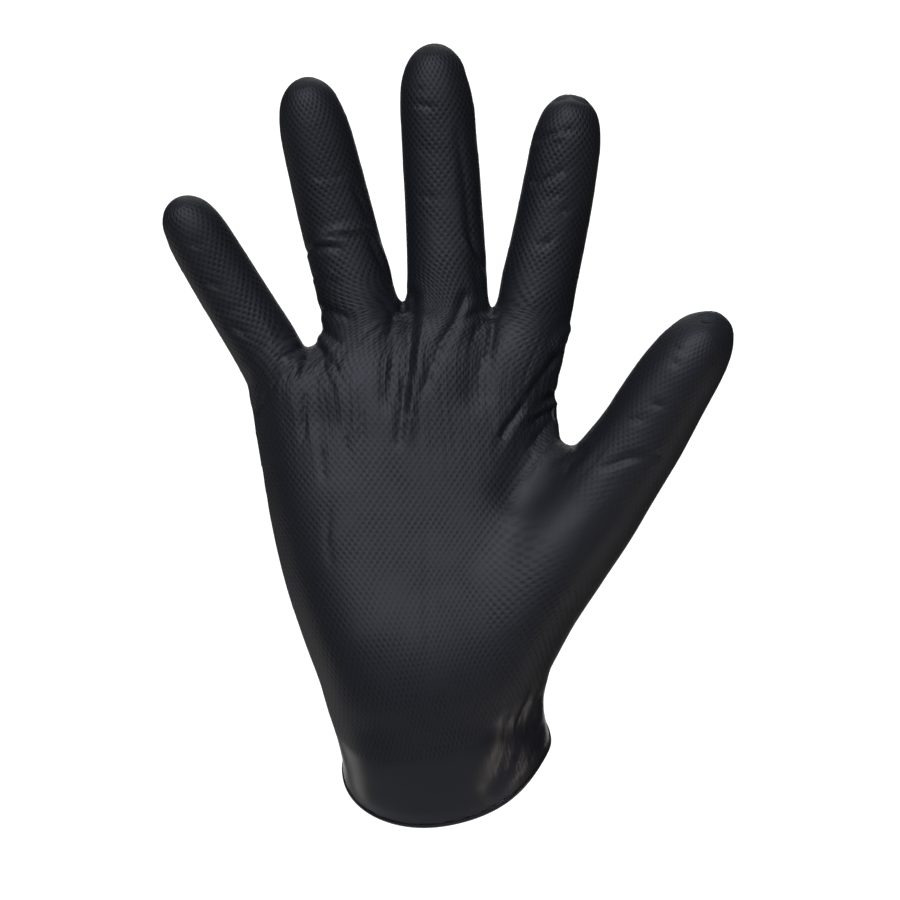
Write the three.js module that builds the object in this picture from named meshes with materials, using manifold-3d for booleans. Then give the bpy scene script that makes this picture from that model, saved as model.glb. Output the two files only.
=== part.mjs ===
// A nitrile exam glove as worn on an open right hand, in millimetres: fingers up +Z, palm towards -Y, thumb at +X.
// The origin is the middle of the cuff's mouth, where a wrist goes in.
import * as THREE from 'three';
import Module from 'manifold-3d';

const wasm = await Module();
wasm.setup();

// Driving dimensions
const palmWidth = 92; // across the knuckles
const palmLength = 140; // mouth's middle to the fork of the middle finger
const palmDepth = 32; // through the heel of the hand
const handForward = 17; // the hand's middle plane in front of the mouth's middle
const cuffWidth = 64.5; // the mouth, side to side
const cuffDepth = 50; // the mouth, front to back
const cuffPitch = 46; // degrees that the cuff bends back from the palm
const cuffLean = -12; // degrees that the cuff's sections rise to the thumb's side
const film = 1.2; // wall
const beadRadius = 1;
const beadGap = 0.3; // from the film's edge to the bead
const fingerLength = 79.1; // the middle finger from its fork to its tip
const fingerWidth = 25.6; // the middle finger at its fork
const thumbWidth = 27;
const thumbDepth = 25;
const fingerDepthShare = 0.84; // a finger's depth as a share of its width
const rootLength = 30; // how far a finger's tube goes on down into the palm
const mouthRun = 8; // how far the hollow runs out past the mouth
const reliefOnset = 1.5; // how quickly the palm's relief comes in from the hand's edge

// Squareness of the sections' ovals: 2 is an ellipse
const bodySquareness = 2.25;
const limbSquareness = 2.1;
const fingerSquareness = 2.15;

// Mesh fineness
const bodySides = 56;
const fingerSides = 20;
const thumbSides = 24;
const saddleSides = 14;
const beadSides = 8;

// Each finger: its root at the fork in palm widths and lengths, its length and width as shares of the middle
// finger's, the degrees that it leans to the thumb and curls forward, and how far its middle and its tip bow to the
// thumb's side in finger widths
const fingers = [
  { name: 'little', x: -0.56, z: 0.859, length: 0.751, width: 0.852, lean: -31.2, curl: 24, bow: -0.01, tip: 0.01 },
  { name: 'ring', x: -0.272, z: 0.947, length: 0.975, width: 0.972, lean: -13.6, curl: 20, bow: -0.02, tip: -0.035 },
  { name: 'middle', x: 0.008, z: 0.989, length: 1.002, width: 1, lean: -3.7, curl: 16, bow: 0.02, tip: -0.03 },
  { name: 'index', x: 0.288, z: 0.983, length: 0.829, width: 0.953, lean: 10.3, curl: 17, bow: 0.043, tip: 0.04 },
];

// Down into the palm: share of the root's length, and shares of the finger's width and depth
const fingerRoot = [
  { at: -1, width: 0.8, depth: 0.85 },
  { at: -0.45, width: 0.97, depth: 0.95 },
];

// Along a finger: share of its length from the fork, and shares of its width and depth
const fingerProfile = [
  { at: 0.0, width: 1.0, depth: 1.0 },
  { at: 0.1, width: 0.965, depth: 0.98 },
  { at: 0.22, width: 0.93, depth: 0.95 },
  { at: 0.36, width: 0.905, depth: 0.925 },
  { at: 0.5, width: 0.895, depth: 0.9 },
  { at: 0.64, width: 0.875, depth: 0.86 },
  { at: 0.76, width: 0.85, depth: 0.81 },
  { at: 0.85, width: 0.79, depth: 0.74 },
  { at: 0.915, width: 0.69, depth: 0.63 },
  { at: 0.96, width: 0.53, depth: 0.48 },
  { at: 0.988, width: 0.31, depth: 0.28 },
];

// The thumb from the heel of the hand to its tip: x in palm widths, z in palm lengths, forward in palm depths,
// and shares of the thumb's width and of its half depth to the front and rear
const thumbSections = [
  { x: 0.150, z: 0.170, forward: 0, width: 1.02, front: 1.35, rear: 1.2 },
  { x: 0.190, z: 0.250, forward: 0.02, width: 1.18, front: 1.6, rear: 1.22 },
  { x: 0.262, z: 0.355, forward: 0.055, width: 1.26, front: 1.62, rear: 1.16 },
  { x: 0.362, z: 0.450, forward: 0.115, width: 1.23, front: 1.48, rear: 1.12 },
  { x: 0.459, z: 0.530, forward: 0.18, width: 1.135, front: 1.27, rear: 1.08 },
  { x: 0.544, z: 0.612, forward: 0.26, width: 1.06, front: 1.1, rear: 1.02 },
  { x: 0.635, z: 0.698, forward: 0.355, width: 0.975, front: 0.98, rear: 0.95 },
  { x: 0.677, z: 0.745, forward: 0.405, width: 0.95, front: 0.92, rear: 0.91 },
  { x: 0.716, z: 0.789, forward: 0.455, width: 0.92, front: 0.87, rear: 0.87 },
  { x: 0.756, z: 0.831, forward: 0.505, width: 0.885, front: 0.83, rear: 0.81 },
  { x: 0.796, z: 0.869, forward: 0.55, width: 0.83, front: 0.77, rear: 0.74 },
  { x: 0.835, z: 0.902, forward: 0.59, width: 0.735, front: 0.67, rear: 0.64 },
  { x: 0.867, z: 0.924, forward: 0.62, width: 0.6, front: 0.54, rear: 0.52 },
  { x: 0.891, z: 0.940, forward: 0.64, width: 0.43, front: 0.38, rear: 0.37 },
  { x: 0.907, z: 0.950, forward: 0.65, width: 0.25, front: 0.22, rear: 0.21 },
];

// The soft saddle of film between the thumb and the palm, from inside the one to inside the other
const saddleSections = [
  { x: 0.24, z: 0.6, forward: 0.02, height: 0.9, depth: 0.82 },
  { x: 0.33, z: 0.602, forward: 0.05, height: 0.92, depth: 0.78 },
  { x: 0.42, z: 0.598, forward: 0.1, height: 0.88, depth: 0.74 },
  { x: 0.51, z: 0.62, forward: 0.17, height: 0.8, depth: 0.7 },
];

// The cuff and palm from the mouth up: bend and lean are shares of the cuff's pitch and lean, left and right in
// palm widths, front and back in palm depths, from a middle that is back from the hand's plane
const palmSections = [
  { x: -0.005, back: 0.39, z: 0.032, bend: 0.93, lean: 1, left: 0.346, right: 0.343, front: 0.75, rear: 0.72 },
  { x: -0.014, back: 0.25, z: 0.07, bend: 0.78, lean: 1, left: 0.347, right: 0.342, front: 0.71, rear: 0.66 },
  { x: -0.022, back: 0.13, z: 0.11, bend: 0.58, lean: 1, left: 0.354, right: 0.354, front: 0.65, rear: 0.6 },
  { x: -0.03, back: 0.05, z: 0.155, bend: 0.38, lean: 0.92, left: 0.367, right: 0.376, front: 0.69, rear: 0.555 },
  { x: -0.042, back: 0.01, z: 0.215, bend: 0.2, lean: 0.7, left: 0.382, right: 0.375, front: 0.7, rear: 0.52 },
  { x: -0.05, back: 0, z: 0.285, bend: 0.08, lean: 0.35, left: 0.42, right: 0.39, front: 0.67, rear: 0.49 },
  { x: -0.06, back: 0, z: 0.365, bend: 0, lean: 0.1, left: 0.458, right: 0.4, front: 0.62, rear: 0.465 },
  { x: -0.07, back: 0, z: 0.45, bend: 0, lean: 0, left: 0.484, right: 0.43, front: 0.57, rear: 0.445 },
  { x: -0.08, back: 0, z: 0.53, bend: 0, lean: 0, left: 0.499, right: 0.455, front: 0.53, rear: 0.43 },
  { x: -0.09, back: 0, z: 0.61, bend: 0, lean: 0, left: 0.511, right: 0.47, front: 0.495, rear: 0.415 },
  { x: -0.1, back: 0, z: 0.685, bend: 0, lean: 0, left: 0.523, right: 0.476, front: 0.46, rear: 0.4 },
  { x: -0.11, back: 0, z: 0.755, bend: 0, lean: 0, left: 0.529, right: 0.478, front: 0.42, rear: 0.385 },
  { x: -0.115, back: 0, z: 0.82, bend: 0, lean: 0, left: 0.536, right: 0.474, front: 0.375, rear: 0.36 },
  { x: -0.12, back: 0, z: 0.875, bend: 0, lean: 0, left: 0.45, right: 0.48, front: 0.33, rear: 0.325 },
  { x: -0.1, back: 0, z: 0.92, bend: 0, lean: 0, left: 0.35, right: 0.44, front: 0.28, rear: 0.28 },
  { x: -0.05, back: 0, z: 0.955, bend: 0, lean: 0, left: 0.27, right: 0.35, front: 0.22, rear: 0.22 },
  { x: 0.0, back: 0, z: 0.978, bend: 0, lean: 0, left: 0.16, right: 0.24, front: 0.14, rear: 0.14 },
];

// Mounds (+) and hollows and folds (-) of the palm's side, each a straight soft ridge between two ends
// from and to in palm widths and palm lengths, reach and height in palm depths
const palmRelief = [
  { name: 'little finger mound', from: [-0.32, 0.28], to: [-0.44, 0.55], reach: 0.47, height: 0.056 },
  { name: 'palm hollow', from: [-0.1, 0.42], to: [-0.02, 0.66], reach: 0.53, height: -0.045 },
  { name: 'cuff groove', from: [0.3, 0.14], to: [0.15, -0.06], reach: 0.125, height: -0.034 },
  { name: 'wrist crease', from: [-0.34, 0.06], to: [0.3, 0.085], reach: 0.19, height: -0.05 },
  { name: 'thumb web valley', from: [0.36, 0.78], to: [0.22, 0.58], reach: 0.19, height: -0.056 },
  { name: 'knuckle pad', from: [-0.45, 0.8], to: [0.25, 0.86], reach: 0.34, height: 0.03 },
  { name: 'ring root valley', from: [-0.155, 0.95], to: [-0.16, 0.8], reach: 0.16, height: -0.047 },
  { name: 'middle root valley', from: [0.14, 0.96], to: [0.1, 0.8], reach: 0.16, height: -0.047 },
  { name: 'little root valley', from: [-0.44, 0.87], to: [-0.41, 0.74], reach: 0.16, height: -0.044 },
];

// Waves of the hem: where each is round the mouth in degrees from the thumb's side through the palm's, how wide it
// is, and how far the hem drops there in cuff depths
const hemWaves = [
  { name: 'palm side droop', at: 105, reach: 38, drop: 0.032 },
  { name: 'lift towards the thumb', at: 30, reach: 26, drop: -0.076 },
  { name: 'lip at the thumb side', at: 2, reach: 16, drop: 0.026 },
  { name: 'rear lift', at: 265, reach: 50, drop: -0.03 },
];

const degree = Math.PI / 180;

// The frame of a section: along points up the limb, side to the thumb's side and palm out of the palm
function frameOf(lean, pitch) {
  const side = new THREE.Vector3(Math.cos(lean), 0, -Math.sin(lean));
  const along = new THREE.Vector3(
    Math.sin(lean) * Math.cos(pitch),
    -Math.sin(pitch),
    Math.cos(lean) * Math.cos(pitch),
  );
  const palm = new THREE.Vector3().crossVectors(side, along);
  return { side, along, palm };
}

// One section: a flattened oval with its own half width to each side and depth to the front and rear
function section(centre, lean, pitch, left, right, front, rear, squareness) {
  return { centre, ...frameOf(lean, pitch), left, right, front, rear, squareness };
}

function ovalPoint(s, angle, inset) {
  const power = 2 / s.squareness;
  const c = Math.cos(angle);
  const d = Math.sin(angle);
  const across = Math.sign(c) * Math.abs(c) ** power * ((c > 0 ? s.right : s.left) - inset);
  const out = Math.sign(d) * Math.abs(d) ** power * ((d > 0 ? s.front : s.rear) - inset);
  return s.centre.clone().addScaledVector(s.side, across).addScaledVector(s.palm, out);
}

// How far the hem drops below the mouth's plane at an angle round it
function hemDrop(angle) {
  let drop = 0;
  for (const wave of hemWaves) {
    const turn = angle - wave.at * degree;
    const away = Math.atan2(Math.sin(turn), Math.cos(turn)) / (wave.reach * degree);
    drop += wave.drop * cuffDepth * Math.exp(-away * away);
  }
  return drop;
}

// How far the palm's side stands out at a point, from the mounds and folds near it
function reliefAt(point) {
  const here = new THREE.Vector2(point.x, point.z);
  let height = 0;
  for (const r of palmRelief) {
    const from = new THREE.Vector2(r.from[0] * palmWidth, r.from[1] * palmLength);
    const run = new THREE.Vector2(r.to[0] * palmWidth, r.to[1] * palmLength).sub(from);
    const share = THREE.MathUtils.clamp(here.clone().sub(from).dot(run) / run.lengthSq(), 0, 1);
    const away = here.distanceTo(from.clone().addScaledVector(run, share)) / (r.reach * palmDepth);
    height += r.height * palmDepth * Math.exp(-away * away);
  }
  return height;
}

// A closed body through the sections, shrunk by inset round the limb and at its far end, with the relief on the
// palm's side
function loft(sections, sides, inset) {
  const positions = [];
  const faces = [];
  sections.forEach((s, k) => {
    const back = (inset * k) / (sections.length - 1);
    for (let i = 0; i < sides; i += 1) {
      const angle = (2 * Math.PI * i) / sides;
      const point = ovalPoint(s, angle, inset).addScaledVector(s.along, -back);
      if (s.hemmed) {
        point.addScaledVector(s.along, -hemDrop(angle));
      }
      const facing = Math.max(0, Math.sin(angle));
      point.addScaledVector(s.palm, reliefAt(point) * Math.min(1, reliefOnset * facing));
      positions.push(point.x, point.y, point.z);
    }
  });
  for (let k = 0; k < sections.length - 1; k += 1) {
    for (let i = 0; i < sides; i += 1) {
      const a = k * sides + i;
      const b = k * sides + ((i + 1) % sides);
      faces.push(a, a + sides, b, b, a + sides, b + sides);
    }
  }
  const first = positions.length / 3;
  const last = first + 1;
  const start = sections[0].centre;
  const tip = sections[sections.length - 1];
  const end = tip.centre.clone().addScaledVector(tip.along, -inset);
  positions.push(start.x, start.y, start.z, end.x, end.y, end.z);
  const top = (sections.length - 1) * sides;
  for (let i = 0; i < sides; i += 1) {
    const next = (i + 1) % sides;
    faces.push(first, i, next, last, top + next, top + i);
  }
  return new wasm.Manifold(
    new wasm.Mesh({
      numProp: 3,
      vertProperties: new Float32Array(positions),
      triVerts: new Uint32Array(faces),
    }),
  );
}

function fingerSections(finger) {
  const lean = finger.lean * degree;
  const length = finger.length * fingerLength;
  const centre = new THREE.Vector3(finger.x * palmWidth, -handForward, finger.z * palmLength);
  const make = (at, width, depth) => {
    const pitch = Math.max(0, at) * finger.curl * degree;
    const half = 0.5 * finger.width * fingerWidth;
    const { along, side } = frameOf(lean, 0.5 * pitch);
    const here = centre.clone().addScaledVector(along, at * length);
    const aside = finger.bow * Math.sin(Math.PI * Math.max(0, at)) + finger.tip * Math.max(0, at) ** 6;
    here.addScaledVector(side, aside * fingerWidth);
    const out = depth * half * fingerDepthShare;
    return section(here, lean, pitch, width * half, width * half, out, out, fingerSquareness);
  };
  const rootShare = rootLength / length;
  const below = fingerRoot.map((p) => make(p.at * rootShare, p.width, p.depth));
  const above = fingerProfile.map((p) => make(p.at, p.width, p.depth));
  return [...below, ...above];
}

function palmPoint(row) {
  return new THREE.Vector3(row.x * palmWidth, -handForward - row.forward * palmDepth, row.z * palmLength);
}

function thumbTube() {
  const centres = thumbSections.map(palmPoint);
  return thumbSections.map((s, k) => {
    const before = centres[Math.max(0, k - 1)];
    const after = centres[Math.min(centres.length - 1, k + 1)];
    const run = after.clone().sub(before).normalize();
    const half = 0.5 * s.width * thumbWidth;
    const front = 0.5 * s.front * thumbDepth;
    const rear = 0.5 * s.rear * thumbDepth;
    const lean = Math.atan2(run.x, run.z);
    const pitch = Math.asin(-run.y);
    return section(centres[k], lean, pitch, half, half, front, rear, limbSquareness);
  });
}

function saddleTube() {
  return saddleSections.map((s) => {
    const half = 0.5 * s.height * thumbWidth;
    const out = 0.5 * s.depth * thumbDepth;
    return section(palmPoint(s), 90 * degree, 0, half, half, out, out, limbSquareness);
  });
}

function palmTube(run) {
  const lean = cuffLean * degree;
  const pitch = cuffPitch * degree;
  const half = 0.5 * cuffWidth;
  const deep = 0.5 * cuffDepth;
  const mouth = section(new THREE.Vector3(), lean, pitch, half, half, deep, deep, limbSquareness);
  mouth.centre.addScaledVector(mouth.along, -run);
  mouth.hemmed = true;
  const tube = [mouth];
  for (const s of palmSections) {
    const centre = new THREE.Vector3(
      s.x * palmWidth,
      -handForward + s.back * palmDepth,
      s.z * palmLength,
    );
    const left = s.left * palmWidth;
    const right = s.right * palmWidth;
    const front = s.front * palmDepth;
    const rear = s.rear * palmDepth;
    tube.push(section(centre, s.lean * lean, s.bend * pitch, left, right, front, rear, bodySquareness));
  }
  return tube;
}

// The whole hand's form, shrunk by inset and run out past the mouth by run
function handForm(inset, run) {
  let form = loft(palmTube(run), bodySides, inset);
  form = form.add(loft(thumbTube(), thumbSides, inset));
  form = form.add(loft(saddleTube(), saddleSides, inset));
  for (const finger of fingers) {
    form = form.add(loft(fingerSections(finger), fingerSides, inset));
  }
  return form;
}

function meshOf(name, solid, material) {
  const made = solid.getMesh();
  const geometry = new THREE.BufferGeometry();
  geometry.setAttribute('position', new THREE.BufferAttribute(made.vertProperties, 3));
  geometry.setIndex(new THREE.BufferAttribute(made.triVerts, 1));
  geometry.computeVertexNormals();
  const mesh = new THREE.Mesh(geometry, material);
  mesh.name = name;
  return mesh;
}

// The rolled bead that follows the film's edge round the mouth
function bead() {
  const rim = palmTube(0)[0];
  const positions = [];
  const faces = [];
  for (let i = 0; i < bodySides; i += 1) {
    const angle = (2 * Math.PI * i) / bodySides;
    const middle = ovalPoint(rim, angle, 0.5 * film);
    const outward = middle.clone().normalize();
    middle.addScaledVector(rim.along, -hemDrop(angle) - beadGap - beadRadius);
    for (let k = 0; k < beadSides; k += 1) {
      const turn = (2 * Math.PI * k) / beadSides;
      const point = middle
        .clone()
        .addScaledVector(outward, beadRadius * Math.cos(turn))
        .addScaledVector(rim.along, beadRadius * Math.sin(turn));
      positions.push(point.x, point.y, point.z);
      const a = i * beadSides + k;
      const b = i * beadSides + ((k + 1) % beadSides);
      const ring = beadSides * bodySides;
      faces.push(a, b, (a + beadSides) % ring, b, (b + beadSides) % ring, (a + beadSides) % ring);
    }
  }
  return new wasm.Manifold(
    new wasm.Mesh({
      numProp: 3,
      vertProperties: new Float32Array(positions),
      triVerts: new Uint32Array(faces),
    }),
  );
}

const nitrile = new THREE.MeshStandardMaterial({ color: 0x2b2c31, roughness: 0.5, metalness: 0 });
const rolled = new THREE.MeshStandardMaterial({ color: 0x27282c, roughness: 0.42, metalness: 0 });

const group = new THREE.Group();
group.name = 'exam_glove';
group.add(meshOf('glove_film', handForm(0, 0).subtract(handForm(film, mouthRun)), nitrile));
group.add(meshOf('cuff_bead', bead(), rolled));

export default group;
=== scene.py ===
import bmesh
import bpy
import numpy as np
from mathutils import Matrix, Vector


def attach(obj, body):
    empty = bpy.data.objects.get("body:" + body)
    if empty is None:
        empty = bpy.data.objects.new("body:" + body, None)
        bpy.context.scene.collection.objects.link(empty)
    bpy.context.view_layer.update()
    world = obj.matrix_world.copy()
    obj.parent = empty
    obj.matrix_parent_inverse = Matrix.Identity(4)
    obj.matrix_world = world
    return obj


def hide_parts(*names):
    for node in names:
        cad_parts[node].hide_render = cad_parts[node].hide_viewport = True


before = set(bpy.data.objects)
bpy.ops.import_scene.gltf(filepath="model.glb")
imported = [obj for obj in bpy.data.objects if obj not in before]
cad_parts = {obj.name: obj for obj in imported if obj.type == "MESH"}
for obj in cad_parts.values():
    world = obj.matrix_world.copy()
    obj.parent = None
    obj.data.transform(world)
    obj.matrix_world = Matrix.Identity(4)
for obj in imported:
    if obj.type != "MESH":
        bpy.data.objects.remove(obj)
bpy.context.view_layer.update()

# The camera stands level in front of the palm, far off, so that 900 pixels cover 274.5 mm at the hand's plane.
VIEW_DISTANCE = 1.0
VIEW_WIDTH = 0.2745
HAND_PLANE = -0.017
view_data = bpy.data.cameras.new("palm_view")
view_data.sensor_width = 36
view_data.lens = 36 * VIEW_DISTANCE / VIEW_WIDTH
view_data.clip_start = 0.05
view = bpy.data.objects.new("palm_view", view_data)
view.location = (0.0012, HAND_PLANE - VIEW_DISTANCE, 0.0942)
view.rotation_euler = (np.pi / 2, 0, 0)
bpy.context.scene.collection.objects.link(view)
bpy.context.scene.camera = view

# Glove film: black nitrile rubber, dipped in one piece on a hand-shaped former whose skin is cut with a diamond
# grip from the fingertips to the wrist. Worn, it stretches over the hand and gathers in folds at the finger roots,
# the joints and the bent wrist. Sizes are in mm until the mesh is made.
PALM_WIDTH = 92.0
PALM_LENGTH = 140.0
PALM_DEPTH = 32.0
HAND_FORWARD = 17.0
CUFF_WIDTH = 64.5
CUFF_DEPTH = 50.0
CUFF_PITCH = 46.0
CUFF_LEAN = -12.0
THUMB_WIDTH = 27.0
THUMB_DEPTH = 25.0
FINGER_DEPTH_SHARE = 0.84
ROOT_LENGTH = 30.0
CUFF_RUN = 12.0
FILM_SHOWN = 0.6

# Squareness of the sections' ovals: 2 is an ellipse
BODY_SQUARENESS = 2.25
LIMB_SQUARENESS = 2.1
FINGER_SQUARENESS = 2.15


def through_rows(rows, count):
    """Each column of a table as a smooth curve through its rows: a Catmull-Rom spline at count even steps."""
    rows = np.asarray(rows, float)
    padded = np.vstack([2 * rows[0] - rows[1], rows, 2 * rows[-1] - rows[-2]])
    t = np.linspace(0, len(rows) - 1, count)
    k = np.minimum(t.astype(int), len(rows) - 2)
    f = (t - k)[:, None]
    a, b, c, d = (padded[k + n] for n in range(4))
    bend = 2 * a - 5 * b + 4 * c - d
    return 0.5 * (2 * b + (c - a) * f + bend * f**2 + (3 * b - a - 3 * c + d) * f**3)


def section_axes(lean, pitch):
    """Side, along and palm directions of a section that leans about Y and pitches forward, in radians."""
    nothing = np.zeros_like(lean)
    side = np.stack([np.cos(lean), nothing, -np.sin(lean)], -1)
    along = [np.sin(lean) * np.cos(pitch), -np.sin(pitch) + nothing, np.cos(lean) * np.cos(pitch)]
    along = np.stack(along, -1)
    return side, along, np.cross(side, along)


def tube(sections, turns):
    """Points of a limb on a grid of sections by turns. Each section is a flattened oval (a superellipse) in the plane
    across the limb, on which |across / half width| ^ n + |out / depth| ^ n = 1 for its squareness n, with its own
    half width to each side and its own depth to the palm and the back. A section is x, y, z, lean, pitch, left,
    right, front, rear and squareness."""
    x, y, z, lean, pitch, left, right, front, rear, square = np.asarray(sections, float).T
    side, along, palm = section_axes(lean, pitch)
    angle = np.linspace(0, 2 * np.pi, turns, endpoint=False)
    c, s = np.cos(angle)[None], np.sin(angle)[None]
    power = 2 / square[:, None]
    across = np.sign(c) * np.abs(c) ** power * np.where(c > 0, right[:, None], left[:, None])
    out = np.sign(s) * np.abs(s) ** power * np.where(s > 0, front[:, None], rear[:, None])
    centre = np.stack([x, y, z], -1)[:, None]
    return centre + across[..., None] * side[:, None] + out[..., None] * palm[:, None]


# Each finger: root x and z in palm widths and lengths, length, width, lean and curl in degrees, bow of its middle
# and of its tip to the thumb's side
FINGERS = {
    "little": (-0.56, 0.859, 59.4, 21.8, -31.2, 24, -0.26, 0.26),
    "ring": (-0.272, 0.947, 77.1, 24.9, -13.6, 20, -0.51, -0.9),
    "middle": (0.008, 0.989, 79.3, 25.6, -3.7, 16, 0.51, -0.77),
    "index": (0.288, 0.983, 65.6, 24.4, 10.3, 17, 1.1, 1.02),
}

# Down into the palm: share of the root's length, and shares of the finger's width and depth. Then along the finger:
# share of its length from the fork, and shares of its width and depth
FINGER_ROOT = [(-1, 0.8, 0.85), (-0.45, 0.97, 0.95)]
FINGER_PROFILE = [
    (0.0, 0.97, 1.0),
    (0.1, 0.94, 0.98),
    (0.22, 0.92, 0.95),
    (0.36, 0.905, 0.925),
    (0.5, 0.895, 0.9),
    (0.64, 0.875, 0.86),
    (0.76, 0.85, 0.81),
    (0.85, 0.78, 0.73),
    (0.915, 0.67, 0.62),
    (0.96, 0.505, 0.47),
    (0.988, 0.31, 0.28),
    (1.0, 0.02, 0.02),
]


def finger_sections(root_x, root_z, length, width, lean, curl, bow, tip):
    """Sections of one finger: from inside the palm, along a line that leans, curls forward evenly, and bows sideways
    by half a sine wave and, at its tip, by the sixth power of the share of its length."""
    below = [(at * ROOT_LENGTH / length, wide, deep) for at, wide, deep in FINGER_ROOT]
    at, wide, deep = through_rows(below + FINGER_PROFILE, 90).T
    lean = np.full_like(at, np.radians(lean))
    pitch = np.radians(curl) * np.maximum(at, 0)
    side, along, _ = section_axes(lean, pitch / 2)
    root = np.array([root_x * PALM_WIDTH, -HAND_FORWARD, root_z * PALM_LENGTH])
    bowed = bow * np.sin(np.pi * np.clip(at, 0, 1)) + tip * np.maximum(at, 0) ** 6
    centre = root + along * (at * length)[:, None] + side * bowed[:, None]
    half = 0.5 * width * wide
    out = 0.5 * width * deep * FINGER_DEPTH_SHARE
    square = np.full_like(at, FINGER_SQUARENESS)
    return np.column_stack([centre, lean, pitch, half, half, out, out, square])


# The thumb: x in palm widths, z in palm lengths, forward in palm depths, then shares of width, front and rear
THUMB_SECTIONS = [
    (0.150, 0.170, 0, 1.02, 1.35, 1.2),
    (0.190, 0.250, 0.02, 1.18, 1.6, 1.22),
    (0.262, 0.355, 0.055, 1.26, 1.62, 1.16),
    (0.362, 0.450, 0.115, 1.23, 1.48, 1.12),
    (0.459, 0.530, 0.18, 1.135, 1.27, 1.08),
    (0.544, 0.612, 0.26, 1.06, 1.1, 1.02),
    (0.635, 0.698, 0.355, 0.975, 0.98, 0.95),
    (0.677, 0.745, 0.405, 0.95, 0.92, 0.91),
    (0.716, 0.789, 0.455, 0.92, 0.87, 0.87),
    (0.756, 0.831, 0.505, 0.885, 0.83, 0.81),
    (0.796, 0.869, 0.55, 0.83, 0.77, 0.74),
    (0.835, 0.902, 0.59, 0.735, 0.67, 0.64),
    (0.867, 0.924, 0.62, 0.6, 0.54, 0.52),
    (0.891, 0.940, 0.64, 0.43, 0.38, 0.37),
    (0.907, 0.950, 0.65, 0.25, 0.22, 0.21),
    (0.912, 0.953, 0.653, 0.02, 0.02, 0.02),
]


def thumb_sections():
    """Sections of the thumb: across the line through the table's middles, whose run is the step between them."""
    x, z, forward, wide, front, rear = through_rows(THUMB_SECTIONS, 110).T
    centre = np.column_stack([x * PALM_WIDTH, -HAND_FORWARD - forward * PALM_DEPTH, z * PALM_LENGTH])
    run = np.gradient(centre, axis=0)
    run /= np.linalg.norm(run, axis=1, keepdims=True)
    lean, pitch = np.arctan2(run[:, 0], run[:, 2]), np.arcsin(-run[:, 1])
    half, square = 0.5 * wide * THUMB_WIDTH, np.full_like(x, LIMB_SQUARENESS)
    depths = 0.5 * front * THUMB_DEPTH, 0.5 * rear * THUMB_DEPTH
    return np.column_stack([centre, lean, pitch, half, half, *depths, square])


# The saddle between thumb and palm: x, z, forward, then shares of the thumb's width and depth
SADDLE_SECTIONS = [
    (0.24, 0.6, 0.02, 0.9, 0.82),
    (0.33, 0.602, 0.05, 0.92, 0.78),
    (0.42, 0.598, 0.1, 0.88, 0.74),
    (0.51, 0.62, 0.17, 0.8, 0.7),
]


def saddle_sections():
    """Sections of the saddle, upright ovals along +X."""
    x, z, forward, tall, deep = through_rows(SADDLE_SECTIONS, 30).T
    half, out = 0.5 * tall * THUMB_WIDTH, 0.5 * deep * THUMB_DEPTH
    level, quarter = np.zeros_like(x), np.full_like(x, np.pi / 2)
    square = np.full_like(x, LIMB_SQUARENESS)
    centre = x * PALM_WIDTH, -HAND_FORWARD - forward * PALM_DEPTH, z * PALM_LENGTH
    return np.column_stack([*centre, quarter, level, half, half, out, out, square])


# Cuff and palm from the mouth up: x, back, z, then shares of the cuff's pitch and lean, left and right in palm
# widths, front and rear in palm depths
PALM_SECTIONS = [
    (-0.005, 0.39, 0.032, 0.93, 1, 0.346, 0.343, 0.75, 0.72),
    (-0.014, 0.25, 0.07, 0.78, 1, 0.347, 0.342, 0.71, 0.66),
    (-0.022, 0.13, 0.11, 0.58, 1, 0.354, 0.354, 0.65, 0.6),
    (-0.03, 0.05, 0.155, 0.38, 0.92, 0.367, 0.376, 0.69, 0.555),
    (-0.042, 0.01, 0.215, 0.2, 0.7, 0.382, 0.375, 0.7, 0.52),
    (-0.05, 0, 0.285, 0.08, 0.35, 0.42, 0.39, 0.67, 0.49),
    (-0.06, 0, 0.365, 0, 0.1, 0.458, 0.4, 0.62, 0.465),
    (-0.07, 0, 0.45, 0, 0, 0.484, 0.43, 0.57, 0.445),
    (-0.08, 0, 0.53, 0, 0, 0.499, 0.455, 0.53, 0.43),
    (-0.09, 0, 0.61, 0, 0, 0.511, 0.47, 0.495, 0.415),
    (-0.1, 0, 0.685, 0, 0, 0.523, 0.476, 0.46, 0.4),
    (-0.11, 0, 0.755, 0, 0, 0.529, 0.478, 0.42, 0.385),
    (-0.115, 0, 0.82, 0, 0, 0.536, 0.474, 0.375, 0.36),
    (-0.12, 0, 0.875, 0, 0, 0.45, 0.48, 0.33, 0.325),
    (-0.1, 0, 0.92, 0, 0, 0.35, 0.44, 0.28, 0.28),
    (-0.05, 0, 0.955, 0, 0, 0.27, 0.35, 0.22, 0.22),
    (0.0, 0, 0.978, 0, 0, 0.16, 0.24, 0.14, 0.14),
]


def mouth_section(run=0.0):
    """The cuff's mouth, run out past the hem."""
    lean, pitch = np.radians(CUFF_LEAN), np.radians(CUFF_PITCH)
    centre = -run * section_axes(lean, pitch)[1]
    half, deep = CUFF_WIDTH / 2, CUFF_DEPTH / 2
    return [*centre, lean, pitch, half, half, deep, deep, LIMB_SQUARENESS]


def palm_sections():
    """Sections of the cuff and palm, from past the mouth to the finger roots."""
    rows = [mouth_section(CUFF_RUN), mouth_section()]
    for x, back, z, bend, lean, left, right, front, rear in PALM_SECTIONS:
        centre = x * PALM_WIDTH, -HAND_FORWARD + back * PALM_DEPTH, z * PALM_LENGTH
        turned = lean * np.radians(CUFF_LEAN), bend * np.radians(CUFF_PITCH)
        wide, deep = (left * PALM_WIDTH, right * PALM_WIDTH), (front * PALM_DEPTH, rear * PALM_DEPTH)
        rows.append([*centre, *turned, *wide, *deep, BODY_SQUARENESS])
    return through_rows(rows, 150)


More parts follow.
